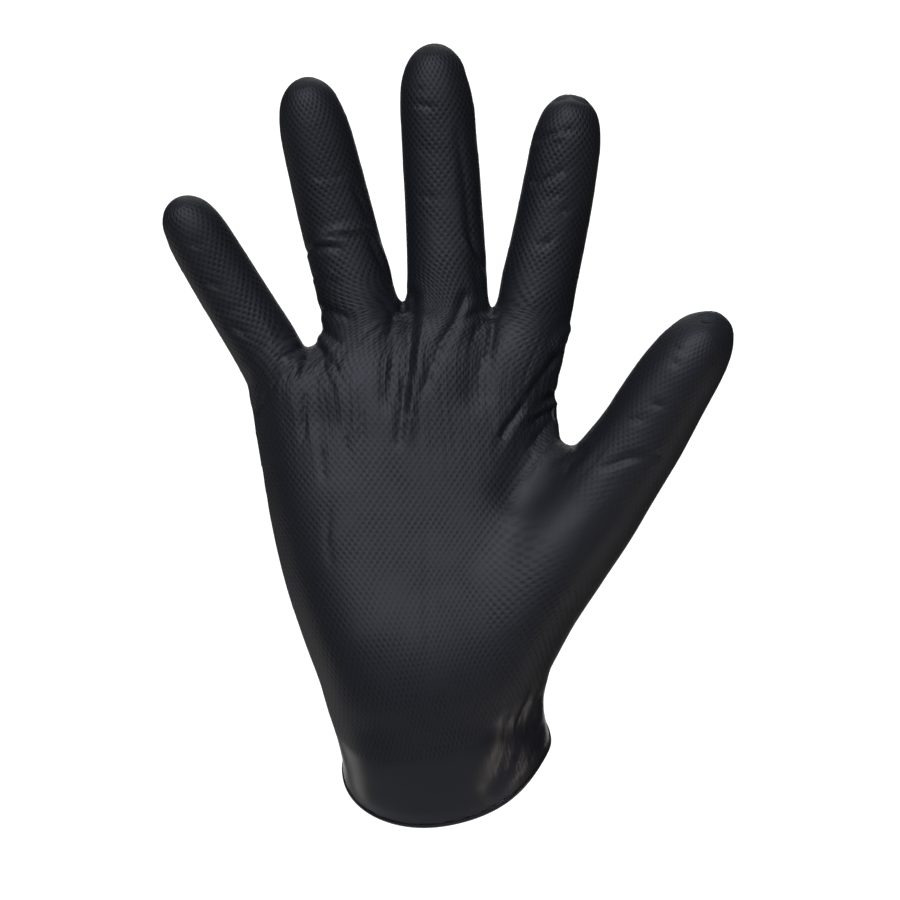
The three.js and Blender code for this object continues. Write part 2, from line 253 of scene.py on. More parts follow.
def grid_mesh(name, grids, unit=0.001):
    """One mesh of closed tubes: each grid's rows are rings, joined by quads, with a flat face at both ends."""
    points, faces, first = [], [], 0
    for grid in grids:
        rows, turns = grid.shape[:2]
        index = first + np.arange(rows * turns).reshape(rows, turns)
        after = np.roll(index, -1, 1)
        quads = np.stack([index[:-1], after[:-1], after[1:], index[1:]], -1).reshape(-1, 4)
        faces += quads.tolist() + [index[0][::-1].tolist(), index[-1].tolist()]
        points.append(grid.reshape(-1, 3))
        first += rows * turns
    mesh = bpy.data.meshes.new(name)
    mesh.from_pydata((np.vstack(points) * unit).tolist(), [], faces)
    return mesh


def points_of(mesh):
    """The mesh's points in mm."""
    flat = np.empty(3 * len(mesh.vertices))
    mesh.vertices.foreach_get("co", flat)
    return flat.reshape(-1, 3) * 1000


def set_points(mesh, points):
    """Puts points in mm into the mesh."""
    mesh.vertices.foreach_set("co", (points / 1000).ravel())
    mesh.update()


def normals_of(mesh):
    """The mesh's outward directions at its points."""
    flat = np.empty(3 * len(mesh.vertices))
    mesh.vertex_normals.foreach_get("vector", flat)
    return flat.reshape(-1, 3)


def step(low, high, value):
    """A smooth step from 0 at low to 1 at high."""
    t = np.clip((value - low) / (high - low), 0, 1)
    return t * t * (3 - 2 * t)


# Waves of the hem: degrees round the mouth, their reach in degrees, and the drop in mm
HEM_WAVES = [(105, 38, 1.6), (30, 26, -3.8), (2, 16, 1.3), (265, 50, -1.5)]


def hem_drop(angle):
    """How far the hem drops at an angle round the mouth: a sum of soft waves, each e ^ -(angle away / reach)^2."""
    drop = np.zeros_like(angle)
    for at, reach, height in HEM_WAVES:
        turn = angle - np.radians(at)
        away = np.arctan2(np.sin(turn), np.cos(turn)) / np.radians(reach)
        drop += height * np.exp(-(away**2))
    return drop


def hem_angle(points):
    """The angle of points round the cuff, from the thumb's side through the palm's."""
    side, _, palm = section_axes(np.radians(CUFF_LEAN), np.radians(CUFF_PITCH))
    return np.arctan2(points @ palm / CUFF_DEPTH, points @ side / CUFF_WIDTH)


def above_hem(points):
    """How far points lie above the hem, along the cuff, and the cuff's direction."""
    along = section_axes(np.radians(CUFF_LEAN), np.radians(CUFF_PITCH))[1]
    return points @ along + hem_drop(hem_angle(points)), along


# Remesh cell of the joined skin, its soft passes, and the shrink that they cost, in mm
FUSED_CELL = 1.6
SOFTENINGS = 6
SOFT_SHRINK = 0.32


def fuse_limbs():
    """Joins the limbs' tubes into one skin of even cells, softens where they meet, and cuts it at the hem. The skin
    is levelled along the cuff by the hem's drop first, so that one plane makes the wavy cut."""
    grids = [tube(palm_sections(), 160), tube(thumb_sections(), 96), tube(saddle_sections(), 60)]
    grids += [tube(finger_sections(*size), 80) for size in FINGERS.values()]
    loose = bpy.data.objects.new("limbs", grid_mesh("limbs", grids))
    bpy.context.scene.collection.objects.link(loose)
    fused = loose.modifiers.new("fused", "REMESH")
    fused.mode = "VOXEL"
    fused.voxel_size = FUSED_CELL / 1000
    soft = loose.modifiers.new("soft", "SMOOTH")
    soft.factor = 0.5
    soft.iterations = SOFTENINGS
    shape = bpy.data.meshes.new_from_object(loose.evaluated_get(bpy.context.evaluated_depsgraph_get()))
    bpy.data.objects.remove(loose)
    points = points_of(shape) + SOFT_SHRINK * normals_of(shape)
    height, along = above_hem(points)
    set_points(shape, points + (height - points @ along)[:, None] * along)
    work = bmesh.new()
    work.from_mesh(shape)
    everything = work.verts[:] + work.edges[:] + work.faces[:]
    plane = dict(plane_co=(0, 0, 0), plane_no=Vector(along), dist=1e-6, clear_inner=True)
    bmesh.ops.bisect_plane(work, geom=everything, **plane)
    work.to_mesh(shape)
    work.free()
    points = points_of(shape)
    set_points(shape, points - hem_drop(hem_angle(points))[:, None] * along)
    return shape


# Steps of the search for a point's foot, the share of the way that each goes, and the least that a section counts
# for at a limb's tip, as a share of its largest
FOOT_STEPS = 14
FOOT_STRIDE = 0.8
LEAST_SECTION = 0.35


def foot_on(sections, points):
    """Where points lie on a limb: the station of their foot on its middle line, slid along the line until it stands
    square to it, the mm along the line, and the offsets to the side and to the palm as shares of the section."""
    sections = np.asarray(sections, float)
    centre = sections[:, :3]
    side, along, palm = section_axes(sections[:, 3], sections[:, 4])
    run = np.concatenate([[0], np.cumsum(np.linalg.norm(np.diff(centre, axis=0), axis=1))])
    chord = (centre[-1] - centre[0]) / run[-1]
    last = len(run) - 1
    station = np.clip((points - centre[0]) @ chord / run[-1] * last, 0, last)
    for _ in range(FOOT_STEPS):
        low = np.minimum(station.astype(int), last - 1)
        part = (station - low)[:, None]
        away = points - (centre[low] * (1 - part) + centre[low + 1] * part)
        line = along[low] * (1 - part) + along[low + 1] * part
        station = np.clip(station + FOOT_STRIDE * np.sum(away * line, 1) * last / run[-1], 0, last)
    beyond = np.sum(away * line, 1)
    across = np.sum(away * side[low], 1)
    out = np.sum(away * palm[low], 1)
    left, right, front, rear = (np.interp(station, np.arange(last + 1), sections[:, k]) for k in (5, 6, 7, 8))
    wide = np.maximum(np.where(across > 0, right, left), LEAST_SECTION * right.max())
    deep = np.maximum(np.where(out > 0, front, rear), LEAST_SECTION * front.max())
    return station, np.interp(station, np.arange(last + 1), run) + beyond, across / wide, out / deep


def palm_turn(across, out, wide, deep):
    """Share of the way round half a palm, -1 at the little finger's side and 1 at the thumb's, the same on the front
    and the back: the length along a flattened oval, from its middle."""
    quarter = np.linspace(0, np.pi / 2, 91)
    x, y = np.sin(quarter) * wide, np.cos(quarter) * deep
    length = np.concatenate([[0], np.cumsum(np.hypot(np.diff(x), np.diff(y)))])
    angle = np.arctan2(np.abs(across), np.abs(out))
    return np.sign(across) * np.interp(angle, quarter, length / length[-1])


# A full repeat of the grip in mm
GRIP_WIDE = 2.0
GRIP_TALL = 2.6

# Half diamonds round half of each limb, whole numbers so that the pattern meets itself, and where each limb's middle
# falls on the palm's own field in half diamonds
PALM_REPEATS = 53
FINGER_REPEATS = {"little": 14, "ring": 17, "middle": 17, "index": 17}
FINGER_BASE = {"little": -46, "ring": -22, "middle": 8, "index": 34}
THUMB_REPEATS = 20
THUMB_BASE = 30

# The oval that the palm's field is measured round, half its depth in mm, and mm up the palm where the thumb's starts
FIELD_DEPTH = 15.0
THUMB_START = 30

# Where a limb's field takes over from the palm's: mm past a finger's fork, mm up the thumb, and how far off its own
# section a limb still holds, in shares of the section
FINGER_TAKES = (-12, 16)
THUMB_TAKES = (38, 74)
LIMB_HOLDS = (1.5, 1.15)

# Over the palm and the thumb the film is drawn tight, so its diamonds lie flatter than on the fingers. On the web
# between them it is all but smooth, and at the limbs' sides the eye sees the diamonds edge on.
PALM_GRIP = 0.6
THUMB_GRIP = 0.45
THUMB_FADE = 0.45
WEB_GRIP = 0.1
SIDE_GRIP = 0.6
SIDE_FACING = (0.25, 0.8)


def grip_lines(points):
    """The grip's own coordinates in mm, across and up the skin. Each limb has a field: half the way round it is a
    whole number of half diamonds, so the pattern meets itself at the limb's sides as it folds to the back, and up is
    the length along its middle line. The limbs' fields take over from the palm's by smooth steps past the roots.
    With them go the share of the grip's full depth that the limbs give, and the thumb's share alone."""
    half = GRIP_WIDE / 2
    sections = palm_sections()
    _, up, across, out = foot_on(sections, points)
    turn = palm_turn(across, out, PALM_WIDTH / 2, FIELD_DEPTH)
    field = np.column_stack([turn * PALM_REPEATS * half, up])
    mixed, total = np.zeros_like(field), np.zeros(len(points))
    for name, size in FINGERS.items():
        root = np.array([[size[0] * PALM_WIDTH, -HAND_FORWARD, size[1] * PALM_LENGTH]])
        root_up = foot_on(sections, root)[1]
        _, along, over, proud = foot_on(finger_sections(*size), points)
        along = along - ROOT_LENGTH
        around = 1 - 2 * np.arctan2(np.abs(proud), over) / np.pi
        own = np.column_stack([(FINGER_BASE[name] + around * FINGER_REPEATS[name]) * half, root_up + along])
        weight = step(*FINGER_TAKES, along) * step(*LIMB_HOLDS, np.hypot(over, proud))
        mixed += weight[:, None] * own
        total += weight
    _, along, over, proud = foot_on(thumb_sections(), points)
    around = 1 - 2 * np.arctan2(np.abs(proud), over) / np.pi
    own = np.column_stack([(THUMB_BASE + around * THUMB_REPEATS) * half, along + THUMB_START])
    weight = step(*THUMB_TAKES, along) * step(*LIMB_HOLDS, np.hypot(over, proud))
    mixed += weight[:, None] * own
    total += weight
    share = np.maximum(total, 1)[:, None]
    strength = np.minimum(total, 1) * (1 - (1 - THUMB_GRIP) * weight)
    return field * (1 - np.minimum(total, 1))[:, None] + mixed / share, strength, weight


def relax(mesh, weight, passes):
    """Draws the skin tight: each point moves towards the mean of its neighbours by its weight, pass after pass."""
    ends = np.empty(2 * len(mesh.edges), int)
    mesh.edges.foreach_get("vertices", ends)
    a, b = ends.reshape(-1, 2).T
    points, count = points_of(mesh), len(mesh.vertices)
    beside = np.bincount(a, minlength=count) + np.bincount(b, minlength=count)
    for _ in range(passes):
        total = [np.bincount(a, points[b, k], count) + np.bincount(b, points[a, k], count) for k in range(3)]
        points += weight[:, None] * (np.stack(total, 1) / beside[:, None] - points)
    set_points(mesh, points)


# Where the film is drawn tight: how much it faces the palm's side and how far it lies above the hem in mm, each as
# the two ends of a smooth step, then how hard a pass draws and how many passes there are
TAUT_FACING = (0.1, 0.6)
TAUT_ABOVE_HEM = (4, 14)
TAUT_PULL = 0.9
TAUT_PASSES = 50


def tighten(mesh):
    """Draws the film tight over the palm's side, where no finger holds it off and the hem doesn't hang loose."""
    points, normals = points_of(mesh), normals_of(mesh)
    facing = step(*TAUT_FACING, -normals[:, 1])
    off_fingers = 1 - grip_lines(points)[1]
    clear_of_hem = step(*TAUT_ABOVE_HEM, above_hem(points)[0])
    relax(mesh, TAUT_PULL * (facing * off_fingers * clear_of_hem), TAUT_PASSES)


# How far the skin is drawn down into the forks between the fingers: x and z of the fork, and mm. Then how wide and
# tall the place is that follows, how much the place that is smoothed spreads past it, and how hard and how often
WEBS = [(-41.2, 129.2, 3.2), (-12.8, 139.8, 2.6), (13.7, 142.2, 5.0)]
WEB_WIDE = 3.4
WEB_TALL = 5
WEB_SPREAD = 1.6
WEB_PULL = 0.5
WEB_PASSES = 5


def draw_down_webs(mesh):
    """Draws the skin down into each fork by a bell curve round it, e to the minus (x / wide)^2 + (z / tall)^2, and
    smooths it there."""
    points = points_of(mesh)
    at_webs = np.zeros(len(points))
    for x, z, drop in WEBS:
        near = np.exp(-(((points[:, 0] - x) / WEB_WIDE) ** 2) - ((points[:, 2] - z) / WEB_TALL) ** 2)
        points[:, 2] -= drop * near
        at_webs = np.maximum(at_webs, np.minimum(1, WEB_SPREAD * near))
    set_points(mesh, points)
    relax(mesh, WEB_PULL * at_webs, WEB_PASSES)


# The rounded end of a finger: its length as a share of the finger's, and how much of that the skin's own end keeps,
# its width and depth as shares of the finger's, where along it the round shape comes in, and how far off it holds
TIP_LENGTH = 0.1765
TIP_FLATTER = 0.93
TIP_WIDTH = 0.785
TIP_DEPTH = 0.735
TIP_BLEND = (0.05, 0.5)
TIP_REACH = (1.4, 1.25)


def round_tips(mesh):
    """Puts the skin of each fingertip on half an ellipsoid, where the squares of the shares of its width, length and
    depth add up to 1, and blends it in by a smooth step."""
    points = points_of(mesh)
    for size in FINGERS.values():
        sections = finger_sections(*size)
        end, reach = sections[-1, :3], TIP_LENGTH * size[2]
        start = sections[np.argmin(np.abs(np.linalg.norm(sections[:, :3] - end, axis=1) - reach))]
        side, _, palm = section_axes(start[3], start[4])
        along = (end - start[:3]) / reach
        wide, deep = 0.5 * size[3] * TIP_WIDTH, 0.5 * size[3] * FINGER_DEPTH_SHARE * TIP_DEPTH
        away = points - start[:3]
        share = np.stack([away @ side / wide, away @ along / (TIP_FLATTER * reach), away @ palm / deep], 1)
        out = np.linalg.norm(share, axis=1)
        weight = step(*TIP_BLEND, share[:, 1]) * step(*TIP_REACH, out)
        points += (weight * (1 / np.maximum(out, 0.1) - 1))[:, None] * away
    set_points(mesh, points)


# Creases (-) and ridges (+) of the palm's side, in mm: half width, height, 2 if it fades at both ends or 1 if only
# at its last, then the x and z of the points of its line
PALM_CREASES = [
    (0.88, -0.75, 1, -45.5, 154.0, -41, 154.9, -37, 155.3, -30, 155.0),
    (1.09, 0.65, 2, -42, 157.0, -36, 157.8, -30, 157.2),
    (1.36, 0.56, 2, -41, 158.9, -31, 160.6, -22.3, 161.3),
    (0.82, -0.5, 2, -40.5, 176.6, -36.3, 175.2),
    (0.88, -0.56, 2, -28.4, 174.5, -25, 168, -22.0, 161.0),
    (1.36, -0.7, 1, -40.0, 137.0, -34, 136, -28.0, 133.2),
    (1.36, -0.59, 1, -39.2, 131.6, -35, 128.6, -31.0, 125.5),
    (1.02, -0.51, 2, -67, 132.4, -59.4, 128.8),
    (0.75, -0.43, 2, -73.4, 145.4, -66.8, 142.8),
    (0.75, -0.36, 2, -78.5, 156.5, -72.5, 155.5),
    (0.82, -0.5, 2, -10.4, 198.4, -3.0, 197.0),
    (0.75, -0.36, 2, -10.8, 203.3, -6.3, 202.2),
    (0.82, -0.36, 2, -9.8, 171.5, -2.0, 169.8),
    (1.36, -0.51, 2, 3.2, 191.5, 5.6, 176, 7.3, 161.3, 10.6, 140),
    (1.09, 0.43, 2, 3.6, 213.2, 8.0, 200, 10.2, 188.8),
    (0.88, -0.58, 1, 27.6, 188.2, 36.3, 190.3, 42.6, 191.0),
    (0.82, -0.5, 2, 29.6, 184.8, 35.8, 187.4),
    (0.88, 0.43, 2, 32.0, 200.8, 39.7, 202.4, 44.1, 199.4),
    (0.95, -0.65, 1, 26.8, 175.0, 32, 176.6, 37.0, 179.2),
    (0.82, -0.5, 2, 26.9, 156.0, 31.6, 157.3),
    (0.82, -0.36, 2, 33, 165.5, 39.5, 167.5),
    (1.19, -0.53, 1, -13.6, 137.2, -18.0, 133.0),
    (1.1, -0.59, 1, -15.2, 134.4, -18.2, 126.8),
    (1.1, -0.51, 2, -15.1, 127.3, -16.2, 118, -17.3, 108.5),
    (1.87, -0.9, 1, -10.4, 141, -11.3, 118.6, -13.4, 104.6, -14.5, 95),
    (1.53, 0.53, 2, -6.8, 133.5, -10.1, 111.6, -11.5, 96),
    (1.53, -0.74, 1, 5.8, 140.5, 2.7, 132.7, -1.8, 126.3, -3.7, 120.2, -7.4, 110.5),
    (1.27, -0.59, 1, 12.4, 136.4, 7.9, 135.1, 4.4, 132.3),
    (1.1, -0.51, 1, 13.6, 134.6, 9.4, 130.8, 7.6, 125.2),
    (1.19, -0.59, 1, 14.6, 134.4, 13.6, 126, 10.6, 117.5),
    (1.27, -0.64, 1, -40.5, 127.1, -44.5, 125.1, -50.6, 121.5),
    (1.19, -0.53, 1, -41.6, 124.1, -44.6, 114.2),
    (1.27, -0.53, 2, -48.8, 121.5, -52.5, 113.8, -56.4, 106.6),
    (1.19, -0.59, 2, -54.9, 116, -57.8, 105),
    (1.02, -0.45, 2, -46.4, 119.9, -49.3, 114.4),
    (1.19, -0.59, 1, -39.3, 126.2, -36, 117.5, -34.3, 111.3),
    (1.1, -0.51, 2, -42.3, 113.2, -42.8, 104, -43.1, 96),
    (1.02, -0.45, 1, -37.6, 124.6, -32.6, 117.8, -29.8, 110.4),
    (0.8, -0.23, 2, -4.7, 89, -5.8, 48.5, -4.8, 17),
    (0.85, -0.39, 2, -37.9, 98, -37.4, 91, -36.2, 84.4),
    (0.85, -0.33, 2, -34.6, 79, -35.2, 67, -33.6, 58),
    (0.94, -0.33, 2, -24, 116, -25.4, 104, -25.2, 94),
    (0.94, -0.33, 2, -29.5, 108, -30.2, 97, -29.4, 90),
    (1.02, -0.51, 1, 23.2, 107.2, 18.3, 101, 14.2, 92.5),
    (1.7, -0.85, 1, 34.2, 122.4, 28.4, 116.5, 25.6, 112.5, 20.2, 104.5, 16.2, 96.4),
    (1.36, 0.59, 2, 30.5, 121.4, 24, 112, 18.3, 102),
    (1.27, -0.74, 1, 34.6, 107.0, 30, 104.4, 25.2, 101.5),
    (1.19, -0.64, 1, 34.0, 104.2, 29.4, 99.4, 25.0, 94.2),
    (1.27, 0.53, 1, 35.6, 109.0, 30.5, 107.2, 26.2, 104.6),
    (1.36, 0.59, 1, 37.5, 131.0, 34.5, 128.5, 32.5, 124.5),
    (1.36, 0.53, 1, 36.2, 115.8, 32.6, 113.2, 29.4, 109.8),
    (1.19, -0.59, 1, 36.2, 112.2, 31.8, 109.8, 28.4, 106.4),
    (1.19, -0.59, 1, 36.4, 125.4, 33, 121.8, 31.2, 118.6),
    (1.19, -0.59, 1, 38.3, 95.3, 35.4, 93.2, 32.8, 91.4),
    (1.02, -0.45, 1, 41.4, 94.2, 37.2, 90.2, 35.6, 86.2),
    (0.94, 0.33, 2, 75.0, 134.8, 80.2, 134.8, 82.2, 132.8),
    (1.02, -0.39, 2, 75.6, 132.6, 79.8, 132.6),
    (1.02, -0.33, 2, 66.4, 119.8, 70.0, 120.3),
    (1.36, -0.51, 2, 45.4, 88.2, 54, 91.6, 65.8, 92.9),
    (1.1, -0.33, 2, 60, 108, 66, 107),
    (1.26, -0.4, 2, 27, 24, 26.2, 20.5, 23.9, 11.1, 21.3, 2.7, 18.9, -5.2),
    (1.03, 0.2, 2, 24.6, 20, 22.4, 11.5, 19.8, 3, 17.6, -4.5),
    (1.15, -0.4, 2, 29.8, 20.5, 27.8, 14.2, 25.2, 4.8, 22.3, -3.6),
    (1.03, 0.18, 2, 28.2, 20.5, 26.3, 13.5, 23.4, 3.9, 20.8, -4),
    (1.15, -0.31, 2, 30.2, 11, 26.8, 2.7, 24.9, -2.8),
    (0.92, 0.15, 2, 29.6, 13, 26.4, 5.6, 24.0, -1.6),
    (1.72, -0.2, 2, 21.4, 16, 18.4, 4, 16.2, -6),
    (0.7, -0.4, 2, 32.3, 199.2, 37.4, 200.9, 43.9, 198.3),
    (0.7, -0.4, 2, -38.2, 175.7, -33, 176.4, -28.8, 178.4),
    (0.8, -0.4, 2, 28, 154.7, 33.8, 159),
    (0.7, -0.3, 2, -9.5, 185.5, -2.2, 183.2),
    (0.7, -0.25, 2, 28.4, 170, 36, 171.5),
    (0.7, -0.3, 2, -41, 147.2, -33.5, 144.6, -29.5, 145.4),
    (0.8, 0.3, 2, -40.2, 149.2, -33, 146.6),
    (0.8, -0.4, 2, -36, 158.3, -30, 158.9, -23.8, 159),
    (0.8, -0.5, 1, -42.5, 146.9, -39.5, 147, -36.5, 148.6),
    (0.9, -0.5, 2, -23.8, 159, -19.5, 150.4, -16.6, 143.2),
    (0.9, 0.4, 2, -21.9, 159, -17.7, 150.4, -15.0, 144),
    (0.9, 0.4, 2, 5, 159, 7.9, 153.3, 11.1, 146.8),
    (0.9, -0.45, 2, 6.9, 159.5, 9.8, 153.8, 12.4, 148),
    (0.9, -0.45, 2, -20.9, 141, -16.6, 136.9, -14.2, 136),
    (0.7, -0.3, 2, 66, 126, 70.5, 123.4, 74, 123.2),
    (0.7, -0.35, 2, 50.2, 101, 56, 103.6, 61, 102.6),
    (0.8, -0.35, 1, -60.5, 121.4, -56.5, 123.6, -53.6, 127.4),
    (0.7, -0.35, 2, -70.4, 139.2, -66, 136.8, -62.6, 136.8),
]

# The same on the back: the bent wrist's gathers, the knuckles' wrinkles and the joints of the fingers and thumb
BACK_CREASES = [
    (2.2, -1.8, 2, -30, 34, -12, 30, 8, 30.5, 26, 35),
    (2.0, 1.4, 2, -30, 29, -12, 25, 8, 25.5, 28, 30),
    (2.0, -1.9, 2, -31, 25, -14, 20.5, 6, 20.5, 29, 25),
    (2.0, 1.3, 2, -30, 20, -10, 15.5, 8, 16, 29, 20.5),
    (1.8, -1.4, 2, -24, 14.5, -6, 11, 14, 12.5),
    (1.8, -1.2, 2, 2, 42, 16, 40.5, 30, 44),
    (1.6, -0.9, 2, -34, 44, -22, 40, -8, 40.5),
    (1.4, -0.8, 2, -58, 116, -48, 113.5, -40, 115),
    (1.4, -0.8, 2, -32, 129, -22, 126.5, -13, 128),
    (1.4, -0.9, 2, -7, 134, 2, 131.5, 10, 133),
    (1.4, -0.8, 2, 19, 130, 27, 127.5, 34, 130),
    (1.2, -0.8, 2, -71, 139, -62, 133),
    (1.2, -0.7, 2, -73, 142.5, -64, 136.5),
    (1.2, -0.8, 2, -42, 163, -34, 160.5, -27, 161.5),
    (1.2, -0.7, 2, -43, 167, -35, 164.6, -28, 165.6),
    (1.2, -0.8, 2, -10, 172, 0, 170, 9, 171.5),
    (1.2, -0.7, 2, -10, 176, 0, 174.2, 8, 175.6),
    (1.2, -0.8, 2, 25, 163, 33, 161.5, 41, 165),
    (1.2, -0.7, 2, 26, 167, 34, 165.6, 41.5, 169),
    (1.3, -0.8, 2, 58, 107, 66, 101, 72, 99),
    (1.3, -0.7, 2, 61, 111, 68, 105, 74.5, 103),
]


def crease_height(points, rows):
    """Height of the gathers at points seen from the front. Each crease is a soft groove or ridge along a line,
    narrower and lower to its ends, or to its far end alone, with the film thrown up a little on both sides: its
    height is e ^ -q^2 - 0.2 e ^ -(q - 2)^2 for a distance of q half widths."""
    x, z = points[:, 0], points[:, 2]
    height = np.zeros(len(points))
    for width, deep, ends, *line in rows:
        line = np.reshape(line, (-1, 2))
        reach = 4 * width
        near = np.flatnonzero(
            (x > line[:, 0].min() - reach) & (x < line[:, 0].max() + reach)
            & (z > line[:, 1].min() - reach) & (z < line[:, 1].max() + reach)
        )
        lengths = np.linalg.norm(np.diff(line, axis=0), axis=1)
        starts = np.concatenate([[0], np.cumsum(lengths)])
        away, share = np.full(len(near), 1e3), np.zeros(len(near))
        for a, run, length, start in zip(line[:-1], np.diff(line, axis=0), lengths, starts):
            s = np.clip(((x[near] - a[0]) * run[0] + (z[near] - a[1]) * run[1]) / length**2, 0, 1)
            off = np.hypot(x[near] - a[0] - s * run[0], z[near] - a[1] - s * run[1])
            share = np.where(off < away, (start + s * length) / starts[-1], share)
            away = np.minimum(off, away)
        taper = 1 - share**2 if ends == 1 else 1 - (2 * share - 1) ** 2
        taper = 0.15 + 0.85 * np.sqrt(np.maximum(taper, 0))
        q = away / (width * (0.45 + 0.55 * taper))
        height[near] += deep * taper * (np.exp(-(q**2)) - 0.2 * np.exp(-((q - 2) ** 2)))
    return height


# Broad mounds (+) and hollows (-) of the palm's side: reach and height in mm, then both ends of the middle line in
# palm widths and palm lengths
PALM_MOUNDS = [
    (15, 1.8, -0.32, 0.28, -0.44, 0.55),
    (17, -0.8, -0.1, 0.42, -0.02, 0.66),
    (4, -1.1, 0.3, 0.14, 0.15, -0.06),
    (6, -1.6, -0.34, 0.06, 0.3, 0.085),
    (6, -1.8, 0.36, 0.78, 0.22, 0.58),
    (11, 0.8, -0.45, 0.8, 0.25, 0.86),
    (5, -1.5, -0.155, 0.95, -0.16, 0.8),
    (5, -1.5, 0.14, 0.96, 0.1, 0.8),
    (5, -1.4, -0.44, 0.87, -0.41, 0.74),
]

# The same on the back: knuckles, and the hollows between them
BACK_MOUNDS = [
    (8, 1.6, -0.5, 0.8, -0.47, 0.83),
    (8, 1.8, -0.24, 0.89, -0.24, 0.9),
    (8, 2.0, 0.01, 0.93, 0.01, 0.94),
    (8, 1.8, 0.26, 0.9, 0.27, 0.91),
    (6, -1.0, -0.37, 0.86, -0.3, 0.7),
    (6, -1.0, -0.12, 0.93, -0.1, 0.76),
    (6, -1.0, 0.14, 0.93, 0.1, 0.76),
]


def mound_height(points, rows):
    """Height of the broad mounds and hollows at points seen from the front, each round a straight line: its height
    times e ^ -(distance / reach)^2."""
    x, z = points[:, 0], points[:, 2]
    height = np.zeros(len(points))
    for reach, deep, ax, az, bx, bz in rows:
        ax, bx, az, bz = ax * PALM_WIDTH, bx * PALM_WIDTH, az * PALM_LENGTH, bz * PALM_LENGTH
        s = np.clip(((x - ax) * (bx - ax) + (z - az) * (bz - az)) / ((bx - ax) ** 2 + (bz - az) ** 2), 0, 1)
        away = np.hypot(x - ax - s * (bx - ax), z - az - s * (bz - az)) / reach
        height += deep * np.exp(-(away**2))
    return height


def refine_near(mesh, rows, facing, least):
    """Halves the cells of the skin on one side where creases are at least so high, so that they hold their shape."""
    points, normals = points_of(mesh), normals_of(mesh)
    hot = (np.abs(crease_height(points, rows)) > least) & (facing * normals[:, 1] > -0.5)
    work = bmesh.new()
    work.from_mesh(mesh)
    edges = [e for e in work.edges if hot[e.verts[0].index] and hot[e.verts[1].index]]
    done = bmesh.ops.subdivide_edges(work, edges=edges, cuts=1, use_grid_fill=True)
    added = [v for v in done["geom_inner"] if isinstance(v, bmesh.types.BMVert)]
    for _ in range(3):
        bmesh.ops.smooth_vert(work, verts=added, factor=0.5, use_axis_x=True, use_axis_y=True, use_axis_z=True)
    work.to_mesh(mesh)
    work.free()
    mesh.update()


# How much the skin faces a fold's own side where the fold comes in and is whole, and how soon a mound is whole
FOLD_FACING = (-0.35, 0.25)
MOUND_FACING = 1.3


def raise_folds(mesh):
    """Moves each point along its outward direction by the mounds and folds of the side that it faces."""
    points, normals = points_of(mesh), normals_of(mesh)
    swell = np.zeros(len(points))
    for way, mounds, creases in [(-1, PALM_MOUNDS, PALM_CREASES), (1, BACK_MOUNDS, BACK_CREASES)]:
        facing = way * normals[:, 1]
        swell += np.clip(MOUND_FACING * facing, 0, 1) * mound_height(points, mounds)
        swell += step(*FOLD_FACING, facing) * crease_height(points, creases)
    set_points(mesh, points + swell[:, None] * normals)


# Where the grip ends above the hem: degrees round the cuff from the thumb's side through the palm's, and mm, then
# half the mm in which it fades
GRIP_END = [(0, 40, 60, 90, 135, 160, 180, 270, 360), (24, 23, 19, 17, 16.5, 18, 20, 22, 24)]
GRIP_FADE = 1.2

# Where the film gathers into fine lines that run along the grip: x and z in mm, reach in mm and share, then the
# place's width as a share of its height
GATHERS = [(-41, 118, 15, 1), (-13, 122, 16, 1), (13, 122, 16, 0.8), (33, 108, 14, 0.9), (-27, 112, 14, 0.7),
           (0, 110, 14, 0.6), (36, 86, 12, 0.8), (24, 2, 9, 0.6)]
GATHER_TALLER = 0.7


def mark(mesh, name, kind, values):
    """Gives every point of the mesh a number or a vector that its material reads by name."""
    field = "vector" if kind == "FLOAT_VECTOR" else "value"
    mesh.attributes.new(name, kind, "POINT").data.foreach_set(field, values.ravel())


def mark_skin(mesh, points, normals):
    """Marks the grip's coordinates and depth, the smooth cuff below the grip's end, and how far the film gathers: the
    highest of bell curves round the places. For a share s on the thumb, 5 s (1 - s) makes the web smooth."""
    lines, on_limb, on_thumb = grip_lines(points)
    off_web = 1 - np.minimum(1, 5 * on_thumb * (1 - on_thumb))
    above_mouth = foot_on(palm_sections(), points)[1] - CUFF_RUN
    grip_end = np.interp(np.degrees(hem_angle(points)) % 360, *GRIP_END)
    on_cuff = 1 - step(-GRIP_FADE, GRIP_FADE, above_mouth - grip_end)
    depth = (1 - on_cuff) * (PALM_GRIP + (1 - PALM_GRIP) * on_limb)
    depth *= SIDE_GRIP + (1 - SIDE_GRIP) * step(*SIDE_FACING, np.abs(normals[:, 1]))
    depth *= (1 - THUMB_FADE * on_thumb) * (WEB_GRIP + (1 - WEB_GRIP) * off_web)
    gathered = np.zeros(len(points))
    for x, z, reach, share in GATHERS:
        away = np.hypot(points[:, 0] - x, GATHER_TALLER * (points[:, 2] - z)) / reach
        gathered = np.maximum(gathered, share * np.exp(-(away**2)))
    mark(mesh, "grip", "FLOAT_VECTOR", np.column_stack([lines, depth]))
    mark(mesh, "cuff", "FLOAT", on_cuff)
    mark(mesh, "gathers", "FLOAT", gathered * off_web)


# Which folds have the skin's cells halved under them: table, side (-1 is the palm's) and least height in mm
FINE_CELLS = [(PALM_CREASES, -1, 0.06), (PALM_CREASES, -1, 0.22), (BACK_CREASES, 1, 0.1)]

film_mesh = fuse_limbs()
tighten(film_mesh)
draw_down_webs(film_mesh)
round_tips(film_mesh)
for rows, facing, least in FINE_CELLS:
    refine_near(film_mesh, rows, facing, least)
smooth_points, smooth_normals = points_of(film_mesh), normals_of(film_mesh)
raise_folds(film_mesh)
mark_skin(film_mesh, smooth_points, smooth_normals)
film_mesh.polygons.foreach_set("use_smooth", np.ones(len(film_mesh.polygons), bool))

